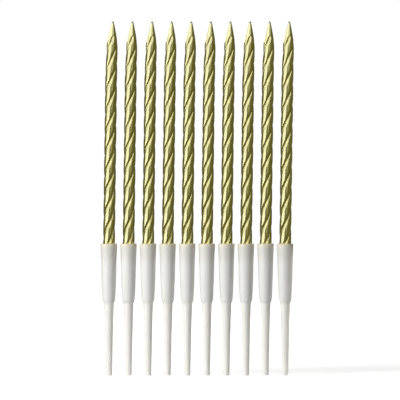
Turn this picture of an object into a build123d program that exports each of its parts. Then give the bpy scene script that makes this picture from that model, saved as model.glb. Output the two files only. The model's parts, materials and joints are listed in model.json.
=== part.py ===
from build123d import *
import math
import os

# A row of spiral birthday candles, each standing in its own plastic holder with a spike for the cake.
# Millimetres. +Z runs up the holders, +X along the row, and the front of the row faces -Y.
# The origin is in the middle of the row, at the height where the spikes meet the top of the cake.

# The row
CANDLE_COUNT = 10
ROW_GAP = 1.2                 # between the rims of two neighbouring holders

# Spiral wax rod
ROD_DIAMETER = 5.0            # over the lands between the grooves
ROD_LENGTH = 101.0            # from the cut foot to the end of the nose
GROOVE_COUNT = 3
GROOVE_WIDTH = 2.4            # from lip to lip, measured square to the groove
GROOVE_DEPTH = 0.46
SPIRAL_LEAD = 25.7            # rise of one groove in a full right-handed turn
SPIRAL_START = 22.0           # degrees from +X to the first groove at the foot
TAPER_LENGTH = 14.0           # of the stretch below the nose that draws in a little
TAPER_DEPTH = 0.24            # taken off the rod's radius at its upper end
NOSE_LENGTH = 8.4
NOSE_BULGE = 0.1              # of the nose's side, from a straight cone
NOSE_END_WALL = 0.12          # wax round the wick at the end of the nose

# Cotton wick
WICK_DIAMETER = 0.8
WICK_PROUD = 0.6              # stands out of the end of the nose
WICK_END_ROUNDING = 0.3

# Socket in the holder's cup, and the fit of the rod in it
SEAT_DEPTH = 9.0              # from the rim to the ledge that the rod's foot rests on
SEAT_PLAY = 0.08              # all round an upright rod
WALL_CLEARANCE = 0.02         # left between a leaning rod and the socket
LEDGE_WIDTH = 0.7
CORE_DEPTH = 11.5             # of the narrower hole under the ledge
CORE_FLOOR = 1.5              # plastic under that hole
MOUTH_CHAMFER = 0.2

# Outside of the holder
RIM_WALL = 0.9
RIM_ROUNDING = 0.35
CUP_NARROWING = 0.8           # taken off the radius between the rim and the foot of the cup
SHOULDER_HEIGHT = 3.1
SPIKE_ROOT_DIAMETER = 4.1
SPIKE_END_DIAMETER = 2.6
SPIKE_END_ROUNDING = 0.5
SPIKE_LENGTH = 30.0

# Places and sizes that follow
ROD_RADIUS = ROD_DIAMETER / 2
WICK_RADIUS = WICK_DIAMETER / 2
SEAT_RADIUS = ROD_RADIUS + SEAT_PLAY
RIM_RADIUS = SEAT_RADIUS + RIM_WALL
CANDLE_PITCH = 2 * RIM_RADIUS + ROW_GAP
CORE_LEVEL = SHOULDER_HEIGHT + CORE_FLOOR
LEDGE_LEVEL = CORE_LEVEL + CORE_DEPTH
RIM_LEVEL = LEDGE_LEVEL + SEAT_DEPTH

# Each rod leans towards +X about the middle of its seat, as far as its play lets it
LEAN = math.atan((SEAT_PLAY - WALL_CLEARANCE) / (SEAT_DEPTH / 2))
SEAT_MIDDLE = LEDGE_LEVEL + SEAT_DEPTH / 2
FOOT_BELOW_MIDDLE = SEAT_DEPTH / 2 - ROD_RADIUS * math.sin(LEAN)


def at_angle(radius, degrees):
    """Point on a circle about the rod's axis."""
    return Vector(radius, 0).rotate(Axis.Z, degrees)


def groove_flank(lip_angle, root, turn):
    """Arc that leaves the land at a lip, tangent to it, and bends down to the root of the groove."""
    return TangentArc(at_angle(ROD_RADIUS, lip_angle), root, tangent=at_angle(1, lip_angle + turn))


def rod_section():
    """The rod cut square across its foot: rounded strands with a groove between them for each start."""
    helix_angle = math.atan(math.pi * ROD_DIAMETER / SPIRAL_LEAD)
    half_groove = math.degrees(GROOVE_WIDTH / math.cos(helix_angle) / ROD_DIAMETER)
    start_step = 360 / GROOVE_COUNT
    edges = []
    for start in range(GROOVE_COUNT):
        middle = SPIRAL_START + start * start_step
        root = at_angle(ROD_RADIUS - GROOVE_DEPTH, middle)
        far_lip = at_angle(ROD_RADIUS, middle + half_groove)
        land = at_angle(ROD_RADIUS, middle + start_step / 2)
        next_lip = at_angle(ROD_RADIUS, middle + start_step - half_groove)
        edges += [
            groove_flank(middle - half_groove, root, 90),
            groove_flank(middle + half_groove, root, -90),
            ThreePointArc(far_lip, land, next_lip),
        ]
    return make_face(edges).face()


def nose_mould():
    """The space inside the mould that draws in the rod's upper end and forms its nose.

    The taper runs on down to the foot, where it is clear of the rod.
    """
    shoulder = (ROD_RADIUS - TAPER_DEPTH, ROD_LENGTH - NOSE_LENGTH)
    nose_end = (WICK_RADIUS + NOSE_END_WALL, ROD_LENGTH)
    taper_start = ROD_LENGTH - NOSE_LENGTH - TAPER_LENGTH
    flare_end = (ROD_RADIUS + taper_start * TAPER_DEPTH / TAPER_LENGTH, 0)
    profile = [
        Line((0, 0), flare_end),
        Line(flare_end, shoulder),
        SagittaArc(shoulder, nose_end, -NOSE_BULGE),
        Line(nose_end, (0, ROD_LENGTH)),
        Line((0, ROD_LENGTH), (0, 0)),
    ]
    return revolve(Plane.XZ * make_face(profile), Axis.Z)


def upright_cylinder(radius, height):
    """Cylinder standing on the foot of the rod, on its axis."""
    return Cylinder(radius, height, align=(Align.CENTER, Align.CENTER, Align.MIN))


def wax_rod():
    """Wax pressed through a notched die and twisted while warm, with a moulded nose, cast round its wick."""
    turn = 360 * ROD_LENGTH / SPIRAL_LEAD
    twisted = Solid.extrude_linear_with_rotation(rod_section(), (0, 0, 0), (0, 0, ROD_LENGTH), turn)
    return (twisted & nose_mould()) - upright_cylinder(WICK_RADIUS, ROD_LENGTH)


def wick():
    """Cotton cord through the whole rod, with a rounded end above the nose."""
    cord = upright_cylinder(WICK_RADIUS, ROD_LENGTH + WICK_PROUD)
    top_edge = cord.edges().sort_by(Axis.Z)[-1]
    return fillet(top_edge, min(WICK_END_ROUNDING, WICK_DIAMETER / 2.5))


def holder():
    """Spike, shoulder and tapered cup in one moulding, with a ledge in the cup and a core hole under it."""
    core_radius = SEAT_RADIUS - LEDGE_WIDTH
    spike_end = (SPIKE_END_DIAMETER / 2, -SPIKE_LENGTH)
    rim = (RIM_RADIUS, RIM_LEVEL)
    mouth = (SEAT_RADIUS, RIM_LEVEL)
    outline = Polyline(
        (0, -SPIKE_LENGTH),
        spike_end,
        (SPIKE_ROOT_DIAMETER / 2, 0),
        (RIM_RADIUS - CUP_NARROWING, SHOULDER_HEIGHT),
        rim,
        mouth,
        (SEAT_RADIUS, LEDGE_LEVEL),
        (core_radius, LEDGE_LEVEL),
        (core_radius, CORE_LEVEL),
        (0, CORE_LEVEL),
        close=True,
    )
    section = make_face(outline)
    section = fillet(section.vertices().sort_by_distance(rim)[0], min(RIM_ROUNDING, RIM_WALL / 2))
    section = chamfer(section.vertices().sort_by_distance(mouth)[0], min(MOUTH_CHAMFER, RIM_WALL / 4))
    end_rounding = min(SPIKE_END_ROUNDING, SPIKE_END_DIAMETER / 3)
    section = fillet(section.vertices().sort_by_distance(spike_end)[0], end_rounding)
    return revolve(Plane.XZ * section, Axis.Z)


os.makedirs("parts", exist_ok=True)
wax_solid = wax_rod()
wick_solid = wick()
holder_solid = holder()
for index in range(CANDLE_COUNT):
    holder_place = Pos((index - (CANDLE_COUNT - 1) / 2) * CANDLE_PITCH, 0, 0)
    lean = Pos(0, 0, SEAT_MIDDLE) * Rot(0, math.degrees(LEAN), 0)
    rod_place = holder_place * lean * Pos(0, 0, -FOOT_BELOW_MIDDLE)
    number = f"{index + 1:02d}"
    export_step(rod_place * wax_solid, f"parts/wax_rod_{number}.step")
    export_step(rod_place * wick_solid, f"parts/wick_{number}.step")
    export_step(holder_place * holder_solid, f"parts/holder_{number}.step")
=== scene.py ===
import json
import math

import bpy
import numpy as np
from mathutils import Matrix, Vector


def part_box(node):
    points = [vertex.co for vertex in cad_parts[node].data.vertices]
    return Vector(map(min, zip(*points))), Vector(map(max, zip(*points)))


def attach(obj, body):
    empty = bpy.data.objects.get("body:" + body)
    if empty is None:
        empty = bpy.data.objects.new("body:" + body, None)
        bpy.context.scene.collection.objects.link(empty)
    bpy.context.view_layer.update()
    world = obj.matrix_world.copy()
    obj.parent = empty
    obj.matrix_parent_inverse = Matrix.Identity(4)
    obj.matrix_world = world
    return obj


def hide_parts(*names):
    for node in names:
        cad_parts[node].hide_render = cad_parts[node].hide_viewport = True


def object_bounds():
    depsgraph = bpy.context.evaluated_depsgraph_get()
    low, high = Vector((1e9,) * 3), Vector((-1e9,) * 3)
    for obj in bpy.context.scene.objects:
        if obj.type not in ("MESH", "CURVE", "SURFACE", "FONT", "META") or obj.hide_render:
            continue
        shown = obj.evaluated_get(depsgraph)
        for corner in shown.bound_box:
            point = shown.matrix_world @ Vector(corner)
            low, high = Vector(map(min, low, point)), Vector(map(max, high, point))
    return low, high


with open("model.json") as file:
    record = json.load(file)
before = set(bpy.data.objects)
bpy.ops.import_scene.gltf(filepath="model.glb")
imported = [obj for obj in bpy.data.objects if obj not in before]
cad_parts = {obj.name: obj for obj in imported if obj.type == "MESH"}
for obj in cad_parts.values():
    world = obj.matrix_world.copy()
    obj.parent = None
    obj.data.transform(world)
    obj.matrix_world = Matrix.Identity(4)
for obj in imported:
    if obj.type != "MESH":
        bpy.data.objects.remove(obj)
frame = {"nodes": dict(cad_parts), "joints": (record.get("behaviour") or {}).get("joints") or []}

cad_low, cad_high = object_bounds()

# Wicks
# A wick is a cord of three cotton strands, laid in a right-handed twist and drawn through the middle of the
# wax. Its end stands out of the nose. It was dipped with the rest of the candle, so gold lacquer binds it.
MM = 0.001                    # in metres, the unit of the frame
WICK_RADIUS = 0.4 * MM
STRAND_COUNT = 3
STRAND_HOLLOW = 0.2           # of the radius, between two strands
STRAND_LAY = 2.4 * MM         # length of a full turn of the cord
WICK_END_ROUNDING = 0.28 * MM
WICK_END_SHARE = 0.97         # of the rounding, where the cut ends it
WICK_END_SLANT = 0.1 * MM     # between the longest and the shortest strand where the cord is cut
FIBRE_WIDTH = 0.06 * MM       # drawn about four times as coarse as cotton, so that it shows
FIBRE_LENGTH = 0.6 * MM       # that shows before another fibre covers it
BEND_START = 78.6 * MM        # above the candle's foot, where its upper end starts to lean over
BEND_SLOPE = 0.02             # how far it then leans over in its rise

numbers = sorted(name[-2:] for name in frame["nodes"] if name.startswith("wick_"))
slide_axis = frame["joints"][0]["axis"]
lean = math.atan2(slide_axis[0], slide_axis[2])


def wick_foot(number):
    """Middle of the wick's foot: its corner in the frame, moved in by the radius of the leaning foot."""
    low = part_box(f"wick_{number}")[0]
    return Vector((low.x + WICK_RADIUS * math.cos(lean), 0, low.z + WICK_RADIUS * math.sin(lean)))


def candle_place(number):
    """Stands a candle that was made upright at the origin in its socket: a lean about Y, then a move."""
    return Matrix.Translation(wick_foot(number)) @ Matrix.Rotation(lean, 4, "Y")


def bend(level):
    """Step towards +X of the candle's upper end: slope × rise above the bend's start."""
    return BEND_SLOPE * np.maximum(level - BEND_START, 0)


def skin(name, rings, poles=None):
    """Closed mesh over rings of points, an array of ring, place on the ring, and x, y and z.

    Quads join each ring to the next one, and the last to the first. With poles, two points, fans of triangles
    close the first and the last ring instead. The UV map runs from 0 to 1 around and along.
    """
    count, around = rings.shape[:2]
    place = np.arange(around)
    ring = np.arange(count if poles is None else count - 1)[:, None]
    corners = [(0, 0), (0, 1), (1, 1), (1, 0)]
    quads = np.stack([(ring + up) % count * around + (place + on) % around for up, on in corners], axis=-1)
    spread = [np.stack(np.broadcast_arrays(place + on, ring + up), axis=-1) for up, on in corners]
    faces = quads.reshape(-1, 4).tolist()
    uv = [np.stack(spread, axis=2).reshape(-1, 2)]
    points = rings.reshape(-1, 3)
    if poles is not None:
        first = len(points)
        top = (count - 1) * around
        onward = (place + 1) % around
        foot_fan = np.stack([np.full(around, first), onward, place], axis=-1)
        top_fan = np.stack([np.full(around, first + 1), top + place, top + onward], axis=-1)
        faces += foot_fan.tolist() + top_fan.tolist()
        points = np.concatenate([points, poles])
        for level, order in ((0, (0.5, 1, 0)), (count - 1, (0.5, 0, 1))):
            fan = np.stack([place + on for on in order], axis=-1)
            uv.append(np.stack([fan, np.full_like(fan, level)], axis=-1).reshape(-1, 2))
    mesh = bpy.data.meshes.new(name)
    mesh.from_pydata(points.tolist(), [], faces)
    scale = np.array([around, count])
    mesh.uv_layers.new(name="around_along").uv.foreach_set("vector", (np.concatenate(uv) / scale).ravel())
    mesh.shade_smooth()
    return mesh


def cord(length, columns=36, rows=420):
    """Rings of a cord of strands, laid in a twist, with a round end.

    The radius at an angle from a strand's middle is radius × (1 - hollow × (1 - |cos(strands × angle / 2)|)),
    and columns follow the strands. The end narrows as a quarter of an ellipse and is cut on a slant.
    """
    level = np.linspace(0, 1, rows)[:, None] * length
    angle = np.linspace(0, 2 * np.pi, columns, endpoint=False)[None, :]
    outline = WICK_RADIUS * (1 - STRAND_HOLLOW * (1 - np.abs(np.cos(STRAND_COUNT * angle / 2))))
    into_end = np.clip((level - length + WICK_END_ROUNDING) / WICK_END_ROUNDING, 0, WICK_END_SHARE)
    reach = outline * np.sqrt(1 - into_end ** 2)
    turned = angle + 2 * np.pi * level / STRAND_LAY
    slant = WICK_END_SLANT * into_end * (1 - np.cos(turned)) / 2
    return np.stack([reach * np.cos(turned) + bend(level), reach * np.sin(turned), level - slant], axis=-1)


wick_length = (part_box(f"wick_{numbers[0]}")[1].z - wick_foot(numbers[0]).z) / math.cos(lean)
wick_poles = np.array([[0, 0, 0], [bend(wick_length), 0, wick_length - WICK_END_SLANT / 2]])
wick_mesh = skin("wick", cord(wick_length), wick_poles)

MIX_SHARE, MIX_FROM, MIX_TO, MIX_RESULT = 0, 6, 7, 2      # a Mix node's sockets, where it mixes colours


def linear(hex_code):
    """Linear RGBA of an sRGB hex value: v / 12.92 for dark values, else ((v + 0.055) / 1.055) ** 2.4."""
    value = np.array([int(hex_code[start:start + 2], 16) for start in (1, 3, 5)]) / 255
    rgb = np.where(value <= 0.04045, value / 12.92, ((value + 0.055) / 1.055) ** 2.4)
    return (*rgb.tolist(), 1.0)


def new_material(name):
    """A material with its node tree and its Principled shader."""
    material = bpy.data.materials.new(name)
    material.use_nodes = True
    return material, material.node_tree, material.node_tree.nodes["Principled BSDF"]


def feed(tree, made, inputs):
    """Sets a node's inputs, by name or number, to values, or links them to other nodes' sockets."""
    for name, value in inputs.items():
        if isinstance(value, bpy.types.NodeSocket):
            tree.links.new(value, made.inputs[name])
        else:
            made.inputs[name].default_value = value


def add_node(tree, kind, inputs=None, **settings):
    """Adds a node. Settings are its properties, and inputs are as feed takes them."""
    made = tree.nodes.new(kind)
    for name, value in settings.items():
        setattr(made, name, value)
    feed(tree, made, inputs or {})
    return made


def add_piece(name, mesh, place, material, body, node):
    """Gives a piece its own copy of a mesh, in its place. It rides on a body and stands for a CAD node."""
    own = mesh.copy()
    own.name = name
    own.transform(place)
    own.materials.append(material)
    piece = bpy.data.objects.new(name, own)
    bpy.context.scene.collection.objects.link(piece)
    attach(piece, body)
    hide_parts(node)
    return piece


# Cotton bound with lacquer: dull and dark between the fibres, with a little gold on their backs.
cotton, tree, shader = new_material("lacquered_cotton_cord")
around_along = add_node(tree, "ShaderNodeUVMap", uv_map="around_along").outputs["UV"]
fibres_around = 2 * math.pi * WICK_RADIUS / FIBRE_WIDTH
fibres_along = wick_length / FIBRE_LENGTH
on_fibres = add_node(
    tree, "ShaderNodeMapping", {"Vector": around_along, "Scale": (fibres_around, fibres_along, 1.0)}
).outputs[0]
fibre = add_node(tree, "ShaderNodeTexNoise", {"Vector": on_fibres, "Scale": 1.0, "Detail": 3.0}).outputs[0]
cotton_colour = add_node(
    tree, "ShaderNodeMix", {MIX_SHARE: fibre, MIX_FROM: linear("#4A4A2C"), MIX_TO: linear("#8A8656")},
    data_type="RGBA",
).outputs[MIX_RESULT]
fibre_bump = add_node(
    tree, "ShaderNodeBump", {"Height": fibre, "Strength": 0.6, "Distance": FIBRE_WIDTH / 2}
).outputs[0]
feed(tree, shader, {"Base Color": cotton_colour, "Metallic": 0.35, "Roughness": 0.62, "Normal": fibre_bump})

for number in numbers:
    add_piece(
        f"cotton_wick_{number}", wick_mesh, candle_place(number), cotton,
        f"candle_{number}", f"wick_{number}",
    )

# Wax rods
# A rod is wax pressed through a notched die round its wick and twisted while warm, so that three soft
# grooves climb it as right-handed screws. Its nose is moulded, it is dipped in gold flake lacquer, and its
# foot is cut off last.
ROD_RADIUS = 2.5 * MM
ROD_LENGTH = 101.0 * MM
SPIRAL_LEAD = 25.7 * MM       # rise of one groove in a full turn
SPIRAL_START = math.radians(22.0)
GROOVE_COUNT = 3
GROOVE_DEPTH = 0.46 * MM
FLANK_REACH = 2.23 * MM       # from a groove's root to where its rounded flank joins the land, square to it
FLANK_POWER = 4.1             # how soon the flank steepens towards the root
GROOVE_ROOT = 0.06 * MM       # radius of the groove's bottom
GROOVE_FADE = (1.8 * MM, 3.4 * MM)     # where the grooves run out, above the foot of the nose
TAPER_LENGTH = 14.0 * MM      # the stretch below the nose draws in a little
TAPER_DEPTH = 0.24 * MM
NOSE_LENGTH = 8.4 * MM
NOSE_BULGE = 0.03 * MM
NOSE_END_RADIUS = 0.46 * MM
NOSE_EASING = 0.015 * MM      # of the turns from the rod to its taper and to its nose
END_EDGE = 0.08 * MM          # height of the eased edge at the foot and at the nose's end
FOOT_FLAT = 0.96              # share of the way out from the bore that the foot is flat
NOSE_FLAT = 0.4               # and the nose's end
BORE_STEP = 1.0 * MM          # between the mesh's rings in the bore
COLUMN_CROWDING = 1.5         # above 1, the mesh's columns stand closer in the grooves
FLAKE_SIZE = 0.12 * MM        # drawn about four times as coarse as the flakes, so that they show
FLAKE_HEIGHT = 0.012 * MM
SWELL_SIZE = 1.6 * MM         # of the swells that the lacquer dries to
SWELL_HEIGHT = 0.02 * MM


def nose_outline(level):
    """Radius over the lands: the least of the rod, its taper and its nose.

    The taper is a straight cone. The nose is a cone whose side bulges as 4 × bulge × share × (1 - share). The
    soft least of a list is -easing × log(sum of exp(-radius / easing)).
    """
    shoulder = ROD_LENGTH - NOSE_LENGTH
    taper = ROD_RADIUS - TAPER_DEPTH * (level - shoulder + TAPER_LENGTH) / TAPER_LENGTH
    share = (level - shoulder) / NOSE_LENGTH
    shoulder_radius = ROD_RADIUS - TAPER_DEPTH
    nose = shoulder_radius + (NOSE_END_RADIUS - shoulder_radius) * share
    nose = nose + 4 * NOSE_BULGE * np.clip(share, 0, 1) * (1 - share)
    least = np.minimum(np.minimum(ROD_RADIUS, taper), nose)
    summed = sum(np.exp((least - radius) / NOSE_EASING) for radius in (ROD_RADIUS, taper, nose))
    return least - NOSE_EASING * np.log(summed)


def groove_share(across, level):
    """How deep the groove is at a distance across it, as a share of its full depth.

    It goes down as (1 - distance / reach) to the flank's power, so that the lands are round like a rope's
    strands. The distance is softened at the groove's root, and the groove runs out in the nose as a smooth
    step.
    """
    softened = np.sqrt(across ** 2 + GROOVE_ROOT ** 2) - GROOVE_ROOT
    section = np.clip(1 - softened / FLANK_REACH, 0, 1) ** FLANK_POWER
    above_shoulder = level - ROD_LENGTH + NOSE_LENGTH
    run_out = np.clip((above_shoulder - GROOVE_FADE[0]) / (GROOVE_FADE[1] - GROOVE_FADE[0]), 0, 1)
    return section * (1 - run_out ** 2 * (3 - 2 * run_out))


def twisted_rod(columns_per_groove=32, rows=420):
    """Rings of the rod, with each point's share of the groove's depth and whether its wax is bare.

    Columns follow the grooves, angle = start + 2 pi × level / lead, and stand closer in them. The rings go
    out over the foot, up the side, in over the nose's end and back down the bore.
    """
    side = np.linspace(END_EDGE, ROD_LENGTH - END_EDGE, rows)
    bore = np.arange(ROD_LENGTH - BORE_STEP, BORE_STEP / 2, -BORE_STEP)
    level = np.concatenate([[0, 0], side, [ROD_LENGTH, ROD_LENGTH], bore])[:, None]
    outward = np.concatenate([[0, FOOT_FLAT], np.ones(rows), [NOSE_FLAT, 0], np.zeros(len(bore))])[:, None]
    bare = np.concatenate([[1, 1], np.zeros(rows + 2), np.ones(len(bore))])[:, None]
    across = np.linspace(-1, 1, columns_per_groove, endpoint=False)
    across = np.sign(across) * np.abs(across) ** COLUMN_CROWDING / 2
    start = (np.arange(GROOVE_COUNT)[:, None] + across[None, :]).ravel()
    helix_angle = math.atan(2 * math.pi * ROD_RADIUS / SPIRAL_LEAD)
    spacing = 2 * math.pi * ROD_RADIUS / GROOVE_COUNT * math.cos(helix_angle)
    groove = groove_share(np.tile(across, GROOVE_COUNT)[None, :] * spacing, level)
    outside = nose_outline(level) - GROOVE_DEPTH * groove
    radius = WICK_RADIUS + outward * (outside - WICK_RADIUS)
    angle = SPIRAL_START + 2 * np.pi * (start[None, :] / GROOVE_COUNT + level / SPIRAL_LEAD)
    height = np.broadcast_to(level, radius.shape)
    rings = np.stack([radius * np.cos(angle) + bend(level), radius * np.sin(angle), height], axis=-1)
    return rings, groove * outward, np.broadcast_to(bare, radius.shape)


rod_rings, groove_depth, bare_wax = twisted_rod()
rod_mesh = skin("wax_rod", rod_rings)
rod_mesh.attributes.new("groove", "FLOAT", "POINT").data.foreach_set("value", groove_depth.ravel())
rod_mesh.attributes.new("bare", "FLOAT", "POINT").data.foreach_set("value", bare_wax.ravel().copy())

# Gold flake lacquer: a pale lemon gold with a mirror's gloss, its colour a little darker the deeper the
# groove is. The flakes give it a faint grain, and its surface swells a little as dipped lacquer does. The cut
# foot is bare wax.
gold, tree, shader = new_material("gold_flake_lacquer_on_wax")
spot = add_node(tree, "ShaderNodeTexCoord").outputs["Object"]
depth = add_node(tree, "ShaderNodeAttribute", attribute_name="groove").outputs["Fac"]
bare = add_node(tree, "ShaderNodeAttribute", attribute_name="bare").outputs["Fac"]
flake = add_node(
    tree, "ShaderNodeTexNoise", {"Vector": spot, "Scale": 1 / FLAKE_SIZE, "Detail": 1.0}
).outputs[0]
swell = add_node(
    tree, "ShaderNodeTexNoise", {"Vector": spot, "Scale": 1 / SWELL_SIZE, "Detail": 1.0}
).outputs[0]
land_gold = add_node(
    tree, "ShaderNodeMix", {MIX_SHARE: flake, MIX_FROM: linear("#F4EFB0"), MIX_TO: linear("#FFFCC8")},
    data_type="RGBA",
).outputs[MIX_RESULT]
# The gold's colour is a little darker the deeper the groove
groove_darkened_gold = add_node(
    tree, "ShaderNodeMix", {MIX_SHARE: depth, MIX_FROM: land_gold, MIX_TO: linear("#E6DC92")},
    data_type="RGBA",
).outputs[MIX_RESULT]
rod_colour = add_node(
    tree, "ShaderNodeMix", {MIX_SHARE: bare, MIX_FROM: groove_darkened_gold, MIX_TO: linear("#EFE8D2")},
    data_type="RGBA",
).outputs[MIX_RESULT]
lacquer_metal = add_node(
    tree, "ShaderNodeMapRange", {"Value": bare, "To Min": 1.0, "To Max": 0.0}
).outputs[0]
lacquer_roughness = add_node(
    tree, "ShaderNodeMapRange", {"Value": flake, "To Min": 0.14, "To Max": 0.22}
).outputs[0]
swell_bump = add_node(
    tree, "ShaderNodeBump", {"Height": swell, "Strength": 0.25, "Distance": SWELL_HEIGHT}
).outputs[0]
flake_bump = add_node(
    tree, "ShaderNodeBump",
    {"Height": flake, "Strength": 0.05, "Distance": FLAKE_HEIGHT, "Normal": swell_bump},
).outputs[0]
feed(tree, shader, {
    "Base Color": rod_colour, "Metallic": lacquer_metal, "Roughness": lacquer_roughness, "Normal": flake_bump,
    "Coat Weight": 0.3, "Coat Roughness": 0.08,
})

for number in numbers:
    rod = add_piece(
        f"gold_rod_{number}", rod_mesh, candle_place(number), gold,
        f"candle_{number}", f"wax_rod_{number}",
    )
    rod.visible_glossy = False         # a rod mirrors the set, but not the rods beside it

# Holders
# A holder is one moulding in white polystyrene: a tapered cup with a socket, a shoulder and a solid spike.
# The mould parts in the line of the row, which leaves a fine ridge up both sides. The candle is pushed in
# by hand.
holder_low, holder_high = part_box("holder_01")
RIM_RADIUS = (holder_high.x - holder_low.x) / 2
RIM_LEVEL = holder_high.z
RIM_EASING = 0.35 * MM        # radius of the arc that eases the corner, as the other easings are
SPIKE_END_RADIUS = 1.3 * MM
SPIKE_END_LEVEL = holder_low.z
SPIKE_END_EASING = 0.5 * MM
SPIKE_ROOT_RADIUS = 2.05 * MM
SPIKE_ROOT_EASING = 0.12 * MM
SHOULDER_RADIUS = 2.6 * MM    # at the turn of the shoulder
SHOULDER_LEVEL = 1.55 * MM
SHOULDER_EASING = 0.9 * MM
CUP_FOOT_RADIUS = 2.69 * MM
CUP_FOOT_LEVEL = 3.1 * MM
CUP_FOOT_EASING = 0.4 * MM
CUP_WAVE = 0.045 * MM         # the cup is fuller near its foot and drawn in below its rim
SOCKET_RADIUS = 2.58 * MM
SOCKET_DEPTH = 9.0 * MM
SOCKET_RIM_EASING = 0.2 * MM
LEDGE_EASING = 0.05 * MM      # of the ledge in the socket, on which the candle rests
CORE_RADIUS = 1.88 * MM
CORE_LEVEL = 4.6 * MM
CORE_EASING = 0.4 * MM
PARTING_RIDGE = 0.02 * MM
AXIS_GAP = 0.05 * MM          # radius of the mesh's first and last ring, which fans close
OUTLINE_STEP = 1.6 * MM       # the most between two rings of the mesh
ARC_STEPS = 7
GRAIN_SIZE = 0.35 * MM        # of the mould's polish, drawn coarser than it is, so that it shows
GRAIN_HEIGHT = 0.01 * MM
FLOW_SIZE = 9.0 * MM          # of the faint clouds that the melt leaves as it flows in
# Painted shade on the hollow cup and, darker, over the candle's foot, and painted warm light from the gold on
# the thin rim
CUP_PAINTED_SHADE = (0.2 * MM, 0.9 * MM)       # levels at which a painted shade of the plastic starts and is full
SOCKET_PAINTED_SHADE = (RIM_LEVEL - 9.5 * MM, RIM_LEVEL - 4.0 * MM)
RIM_PAINTED_GOLD_LIGHT = (RIM_LEVEL - 2.4 * MM, RIM_LEVEL)


def eased_outline(corners):
    """Outline through corners, given as radius, level and easing.

    Each corner between the ends is replaced by the arc of that easing which touches both its sides: the arc's
    middle is easing / sin(half the corner's angle) from the corner, and its ends are easing / tan(half) along
    the sides. Straight runs are cut into steps.
    """
    places = np.array([corner[:2] for corner in corners])
    outline = [places[:1]]
    for before, corner, after, (_, _, easing) in zip(places, places[1:], places[2:], corners[1:]):
        back = (before - corner) / np.linalg.norm(before - corner)
        onward = (after - corner) / np.linalg.norm(after - corner)
        half = math.acos(np.dot(back, onward)) / 2
        middle = corner + (back + onward) / np.linalg.norm(back + onward) * easing / math.sin(half)
        first = corner + back * easing / math.tan(half) - middle
        last = corner + onward * easing / math.tan(half) - middle
        spread = math.pi - 2 * half
        share = np.linspace(0, 1, ARC_STEPS)[:, None]
        arc = np.sin((1 - share) * spread) * first + np.sin(share * spread) * last
        outline.append(middle + arc / math.sin(spread))
    outline = np.concatenate(outline + [places[-1:]])
    lengths = np.linalg.norm(np.diff(outline, axis=0), axis=1)
    cuts = np.maximum(1, np.ceil(lengths / OUTLINE_STEP).astype(int))
    runs = [np.linspace(a, b, n, endpoint=False) for a, b, n in zip(outline, outline[1:], cuts)]
    return np.concatenate(runs + [outline[-1:]])


def turned_holder(columns=96):
    """Rings of the holder: its outline turned about its axis, from the spike's end over the rim to the core.

    The cup's side waves by wave × sin(2 pi × share of its height), and the parting ridge lifts two columns,
    from the spike's end to where the rim is eased.
    """
    rim_middle = ((RIM_RADIUS + SOCKET_RADIUS) / 2, RIM_LEVEL, 0)
    ledge_level = RIM_LEVEL - SOCKET_DEPTH
    outside = eased_outline([
        (AXIS_GAP, SPIKE_END_LEVEL, 0),
        (SPIKE_END_RADIUS, SPIKE_END_LEVEL, SPIKE_END_EASING),
        (SPIKE_ROOT_RADIUS, 0, SPIKE_ROOT_EASING),
        (SHOULDER_RADIUS, SHOULDER_LEVEL, SHOULDER_EASING),
        (CUP_FOOT_RADIUS, CUP_FOOT_LEVEL, CUP_FOOT_EASING),
        (RIM_RADIUS, RIM_LEVEL, RIM_EASING),
        rim_middle,
    ])
    inside = eased_outline([
        rim_middle,
        (SOCKET_RADIUS, RIM_LEVEL, SOCKET_RIM_EASING),
        (SOCKET_RADIUS, ledge_level, LEDGE_EASING),
        (CORE_RADIUS, ledge_level, LEDGE_EASING),
        (CORE_RADIUS, CORE_LEVEL, CORE_EASING),
        (AXIS_GAP, CORE_LEVEL, 0),
    ])
    up_cup = np.clip((outside[:, 1] - CUP_FOOT_LEVEL) / (RIM_LEVEL - CUP_FOOT_LEVEL), 0, 1)
    outside[:, 0] += CUP_WAVE * np.sin(2 * np.pi * up_cup)
    outline = np.concatenate([outside, inside[1:]])
    angle = np.linspace(0, 2 * np.pi, columns, endpoint=False)
    ridge = np.isin(np.arange(columns), (0, columns // 2)) * PARTING_RIDGE
    on_side = np.arange(len(outline)) < len(outside) - ARC_STEPS - 1
    radius = outline[:, :1] + ridge[None, :] * on_side[:, None]
    level = np.broadcast_to(outline[:, 1:], radius.shape)
    return np.stack([radius * np.cos(angle), radius * np.sin(angle), level], axis=-1)


holder_poles = np.array([[0, 0, SPIKE_END_LEVEL], [0, 0, CORE_LEVEL]])
holder_mesh = skin("holder", turned_holder(), holder_poles)

# Polystyrene from a polished mould: clean warm white, glossy, and a little light goes through it. On top of
# that, the hollow cup has a painted shade, a little greyer than the solid spike and most of all over the
# candle's foot, and a painted warm light from the gold tints the thin rim.
plastic, tree, shader = new_material("moulded_white_polystyrene")
spot = add_node(tree, "ShaderNodeTexCoord").outputs["Object"]
grain = add_node(
    tree, "ShaderNodeTexNoise", {"Vector": spot, "Scale": 1 / GRAIN_SIZE, "Detail": 2.0}
).outputs[0]
flow = add_node(
    tree, "ShaderNodeTexNoise", {"Vector": spot, "Scale": 1 / FLOW_SIZE, "Detail": 2.0}
).outputs[0]
plastic_colour_and_painted_shade = add_node(
    tree, "ShaderNodeMix", {MIX_SHARE: flow, MIX_FROM: linear("#EFEEE9"), MIX_TO: linear("#F5F4F0")},
    data_type="RGBA",
).outputs[MIX_RESULT]
level = add_node(tree, "ShaderNodeSeparateXYZ", {"Vector": spot}).outputs["Z"]
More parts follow.
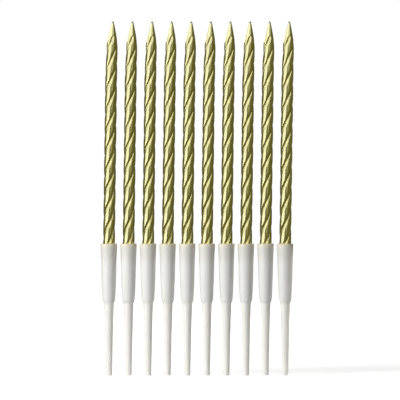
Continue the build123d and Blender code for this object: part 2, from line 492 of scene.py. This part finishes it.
# Painted shade on the cup and over the candle's foot, and painted warm light from the gold at the rim, mixed
# in by level
for (start, full), painted_tint in ((CUP_PAINTED_SHADE, "#E7E7E4"), (SOCKET_PAINTED_SHADE, "#DEDCD7"), (RIM_PAINTED_GOLD_LIGHT, "#E8E2CE")):
    painted_light_share = add_node(
        tree, "ShaderNodeMapRange", {"Value": level, "From Min": start, "From Max": full},
        interpolation_type="SMOOTHSTEP",
    ).outputs[0]
    plastic_colour_and_painted_shade = add_node(
        tree, "ShaderNodeMix", {MIX_SHARE: painted_light_share, MIX_FROM: plastic_colour_and_painted_shade, MIX_TO: linear(painted_tint)},
        data_type="RGBA",
    ).outputs[MIX_RESULT]
plastic_roughness = add_node(
    tree, "ShaderNodeMapRange", {"Value": grain, "To Min": 0.14, "To Max": 0.24}
).outputs[0]
grain_bump = add_node(
    tree, "ShaderNodeBump", {"Height": grain, "Strength": 0.15, "Distance": GRAIN_HEIGHT}
).outputs[0]
feed(tree, shader, {
    "Base Color": plastic_colour_and_painted_shade, "Roughness": plastic_roughness, "Normal": grain_bump, "IOR": 1.59,
    "Subsurface Weight": 0.4, "Subsurface Radius": (1.0, 0.95, 0.85), "Subsurface Scale": 1.2 * MM,
})

for number in numbers:
    low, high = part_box(f"holder_{number}")
    add_piece(
        f"white_holder_{number}", holder_mesh, Matrix.Translation(((low.x + high.x) / 2, 0, 0)), plastic,
        "holders", f"holder_{number}",
    )

# Floor
# A plain white floor under the ends of the spikes. The camera and mirrors see it about as white as the
# background, and it keeps a faint shadow.
FLOOR_SIZE = 3.0
WHITE_REACH = (0.1, 0.6)      # from the part's origin, where the floor's own white starts to rise and is full
WHITE_GLOW = (0.76, 1.0)
PATCH_REACH = (0.035, 0.1)    # from the part's origin, where the light thrown up at the row fades
PATCH_GLOW = (0.31, 0.05)
PATCH_SQUEEZE = (0.5, 1.0, 1.0)        # of the patch that throws it, which is longer in the line of the row
floor_level = cad_low.z


def stage_sheet(name, points, material):
    """Open sheet over a grid of points, for what isn't part of the object."""
    rows, columns = points.shape[:2]
    first = (np.arange(rows - 1)[:, None] * columns + np.arange(columns - 1)[None, :]).ravel()
    faces = np.stack([first, first + 1, first + columns + 1, first + columns], axis=-1)
    mesh = bpy.data.meshes.new(name)
    mesh.from_pydata(points.reshape(-1, 3).tolist(), [], faces.tolist())
    mesh.shade_smooth()
    mesh.materials.append(material)
    sheet = bpy.data.objects.new(name, mesh)
    bpy.context.scene.collection.objects.link(sheet)
    return sheet


def seen_directly(tree):
    """Socket that is 1 for rays from the camera, from mirrors and through glass, and 0 for other light."""
    path = add_node(tree, "ShaderNodeLightPath").outputs
    glossy = add_node(
        tree, "ShaderNodeMath", {0: path["Is Camera Ray"], 1: path["Is Glossy Ray"]}, operation="MAXIMUM"
    ).outputs[0]
    return add_node(
        tree, "ShaderNodeMath", {0: glossy, 1: path["Is Transmission Ray"]}, operation="MAXIMUM"
    ).outputs[0]


# Matt white paint: seen directly it has an even white of its own, and it throws a little light up at the row.
floor_paint, tree, shader = new_material("white_floor_paint")
spot = add_node(tree, "ShaderNodeTexCoord").outputs["Object"]
away = add_node(tree, "ShaderNodeVectorMath", {0: spot}, operation="LENGTH").outputs["Value"]
evened = add_node(tree, "ShaderNodeMapRange", {
    "Value": away, "From Min": WHITE_REACH[0], "From Max": WHITE_REACH[1],
    "To Min": WHITE_GLOW[0], "To Max": WHITE_GLOW[1],
}).outputs[0]
squeezed = add_node(tree, "ShaderNodeMapping", {"Vector": spot, "Scale": PATCH_SQUEEZE}).outputs[0]
from_row = add_node(tree, "ShaderNodeVectorMath", {0: squeezed}, operation="LENGTH").outputs["Value"]
thrown_up = add_node(tree, "ShaderNodeMapRange", {
    "Value": from_row, "From Min": PATCH_REACH[0], "From Max": PATCH_REACH[1],
    "To Min": PATCH_GLOW[0], "To Max": PATCH_GLOW[1],
}).outputs[0]
glow = add_node(
    tree, "ShaderNodeMapRange", {"Value": seen_directly(tree), "To Min": thrown_up, "To Max": evened}
).outputs[0]
feed(tree, shader, {
    "Base Color": linear("#CACAC8"), "Roughness": 0.9, "Specular IOR Level": 0.1,
    "Emission Color": linear("#FFFFFF"), "Emission Strength": glow,
})
floor_x, floor_y = np.meshgrid((-FLOOR_SIZE, FLOOR_SIZE), (-FLOOR_SIZE, FLOOR_SIZE))
stage_sheet("floor", np.stack([floor_x, floor_y, np.full_like(floor_x, floor_level)], axis=-1), floor_paint)

# Curtain
# A studio tent of dark cloth with a ceiling and a carpet, open at the left front. It has a grey card at the
# right front, a valance in front, and lit white cloth over the opening and round the left. Only mirrors see
# it, and it gives the lacquer the dark and light of metal.
TENT_RADIUS = 2.0
HANGING_RADIUS = 1.96         # of the card and the strip, close to the curtain
CURTAIN_TURNS = np.radians((-18, 279))      # from the camera's side, towards the right, as all turns are
CURTAIN_LOW = 0.27            # above the floor, as all heights are
CURTAIN_HIGH = 1.6
TALL_TURNS = np.radians((29, 263))          # where the curtain is high
TALL_EASING = math.radians(7)
CEILING_REACH = 1.58
CARPET_LIFT = 0.5 * MM
CARPET_GAP_REACH = 0.4        # the carpet stops short in the opening
BARE_TURNS = np.radians((142, 218))         # behind the row the floor is bare near it
BARE_REACH = 0.5
INNER_SHARE = 0.001           # of a sheet's reach, so that its faces don't meet in one point
GREY_CARD_TURNS = np.radians((8, 36))
VALANCE_TURNS = np.radians((-15, 16))
VALANCE_RADIUS = 1.94
VALANCE_LEVELS = (0.86, 1.1)
SHEET_TURNS = np.radians((-92, -18))        # of the lit cloth over the opening
SHEET_LEVELS = (0.8, 1.2)
STRIP_TURNS = np.radians((-165, -92))       # of the lit cloth round the left
STRIP_FOOT = (0.28, 0.54)     # at its two ends
STRIP_WIDTH = 0.26
WALL_COLUMNS = 121
CIRCLE_COLUMNS = 181


def smooth_step(value):
    """Rises from 0 to 1 about 0, as 1 / (1 + exp(-value))."""
    return 1 / (1 + np.exp(-value))


def around_set(turn, reach, height):
    """Points at a turn from the camera's side, a reach from the set's middle and a height above the floor."""
    places = (reach * np.sin(turn), -reach * np.cos(turn), floor_level + height)
    return np.stack(np.broadcast_arrays(*places), axis=-1)


def tent_wall(radius, turns, foot, top):
    """Upright wall, part of a cylinder between two turns. Foot and top have one height or one per column."""
    rise = np.array([[0], [1]])
    return around_set(np.linspace(*turns, WALL_COLUMNS), radius, foot + rise * (top - foot))


def tent_disc(turn, start, end, height):
    """Level sheet over the turns, from one reach to another. Both reaches have one value or one per turn."""
    share = np.array([[INNER_SHARE], [1]])
    return around_set(turn, start + share * (end - start), height)


def glowing(name, colour, strength):
    """Material with an even glow of its own, which takes no light from elsewhere."""
    material, tree, shader = new_material(name)
    feed(tree, shader, {
        "Base Color": linear("#000000"), "Roughness": 1.0, "Specular IOR Level": 0.0,
        "Emission Color": linear(colour), "Emission Strength": strength,
    })
    return material


# Cloth and card, as the lacquer mirrors them: a dim gold, a warm grey, and a white brighter than the floor.
dark_cloth = glowing("dark_curtain_cloth", "#FFF79B", 0.12)
grey_paper = glowing("grey_card", "#FFFDCB", 0.4)
lit_cloth = glowing("lit_white_cloth", "#FFFFFF", 1.2)

turn = np.linspace(*CURTAIN_TURNS, WALL_COLUMNS)
tall = smooth_step((turn - TALL_TURNS[0]) / TALL_EASING) * smooth_step((TALL_TURNS[1] - turn) / TALL_EASING)
curtain_top = CURTAIN_LOW + (CURTAIN_HIGH - CURTAIN_LOW) * tall
strip_foot = np.linspace(*STRIP_FOOT, WALL_COLUMNS)
circle = np.linspace(CURTAIN_TURNS[1] - 2 * np.pi, CURTAIN_TURNS[1], CIRCLE_COLUMNS)
carpet_start = np.where((circle > BARE_TURNS[0]) & (circle < BARE_TURNS[1]), BARE_REACH, 0)
carpet_end = np.where(circle < CURTAIN_TURNS[0], CARPET_GAP_REACH, TENT_RADIUS)
for name, points, material in (
    ("curtain", tent_wall(TENT_RADIUS, CURTAIN_TURNS, 0, curtain_top), dark_cloth),
    ("carpet", tent_disc(circle, carpet_start, carpet_end, CARPET_LIFT), dark_cloth),
    ("ceiling", tent_disc(circle, 0, CEILING_REACH, CURTAIN_HIGH), dark_cloth),
    ("grey_card", tent_wall(HANGING_RADIUS, GREY_CARD_TURNS, 0, CURTAIN_LOW), grey_paper),
    ("lit_sheet", tent_wall(TENT_RADIUS, SHEET_TURNS, *SHEET_LEVELS), lit_cloth),
    ("lit_strip", tent_wall(HANGING_RADIUS, STRIP_TURNS, strip_foot, strip_foot + STRIP_WIDTH), lit_cloth),
    ("valance", tent_wall(VALANCE_RADIUS, VALANCE_TURNS, *VALANCE_LEVELS), dark_cloth),
):
    sheet = stage_sheet(name, points, material)
    sheet.visible_camera = False
    sheet.visible_diffuse = False
    sheet.visible_transmission = False
    sheet.visible_shadow = False

# White card
# A card at the right end of the row throws light back on the last holder, as each holder does on the one
# before it. The card itself isn't seen.
WHITE_CARD_GAP = 3.0 * MM
WHITE_CARD_HALF_WIDTH = 5.0 * MM
last_low, last_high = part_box(f"holder_{numbers[-1]}")

# Matt white paper, a little warm, as the plastic is.
paper, tree, shader = new_material("white_card_paper")
feed(tree, shader, {"Base Color": linear("#F2F1EC"), "Roughness": 0.8})
card_y, card_z = np.meshgrid((WHITE_CARD_HALF_WIDTH, -WHITE_CARD_HALF_WIDTH), (last_low.z, last_high.z))
card_x = np.full_like(card_y, last_high.x + WHITE_CARD_GAP)
white_card = stage_sheet("white_card", np.stack([card_x, card_y, card_z], axis=-1), paper)
white_card.visible_camera = False
white_card.visible_glossy = False
white_card.visible_transmission = False
white_card.visible_shadow = False

# Light
# One soft lamp at the left front gives the plastic its shading, and a weak one behind, without a shadow,
# lifts its back. Mirrors see the white background in their place, and the white surroundings add a low even
# light.
LAMP_DIRECTION = (math.radians(-48), math.radians(27))     # turned from the camera's side, and raised
LAMP_POWER = 4.9
BACK_DIRECTION = (math.radians(172), math.radians(25))
BACK_POWER = 1.6
LAMP_DISTANCE = 0.7
LAMP_SIDE = 0.25
SURROUND_LIGHT = 0.03
aim = Vector((0, 0, 45.0 * MM))


def direction(turned, raised):
    """Unit vector from the set: turned from the camera's side towards the right, and raised from level."""
    return Vector((
        math.sin(turned) * math.cos(raised), -math.cos(turned) * math.cos(raised), math.sin(raised)
    ))


for name, towards, power, casts_shadow in (
    ("soft_lamp", LAMP_DIRECTION, LAMP_POWER, True), ("back_lamp", BACK_DIRECTION, BACK_POWER, False),
):
    lamp_data = bpy.data.lights.new(name, "AREA")
    lamp_data.shape = "SQUARE"
    lamp_data.size = LAMP_SIDE
    lamp_data.energy = power
    lamp_data.use_shadow = casts_shadow
    lamp = bpy.data.objects.new(name, lamp_data)
    bpy.context.scene.collection.objects.link(lamp)
    lamp.location = aim + direction(*towards) * LAMP_DISTANCE
    lamp.rotation_euler = direction(*towards).to_track_quat("Z", "Y").to_euler()
    lamp.visible_glossy = False

world = bpy.data.worlds.new("white_surround")
world.use_nodes = True
bpy.context.scene.world = world
tree = world.node_tree
surround = add_node(
    tree, "ShaderNodeMapRange", {"Value": seen_directly(tree), "To Min": SURROUND_LIGHT, "To Max": 1.0}
).outputs[0]
feed(tree, tree.nodes["Background"], {"Color": linear("#FFFFFF"), "Strength": surround})
bpy.context.scene.view_settings.view_transform = "Standard"

# Camera
# A long lens in front of the row, a little above its middle.
FRAME_WIDTH = 166.7 * MM      # what the picture takes in at the row
CAMERA_DISTANCE = 2.5
CAMERA_RAISED = math.radians(1.2)
picture_middle = Vector((1.27 * MM, 0, 43.3 * MM))
camera_data = bpy.data.cameras.new("camera")
camera_data.lens = camera_data.sensor_width * CAMERA_DISTANCE / FRAME_WIDTH
camera = bpy.data.objects.new("camera", camera_data)
bpy.context.scene.collection.objects.link(camera)
camera.location = picture_middle + direction(0, CAMERA_RAISED) * CAMERA_DISTANCE
camera.rotation_euler = direction(0, CAMERA_RAISED).to_track_quat("Z", "Y").to_euler()
bpy.context.scene.camera = camera
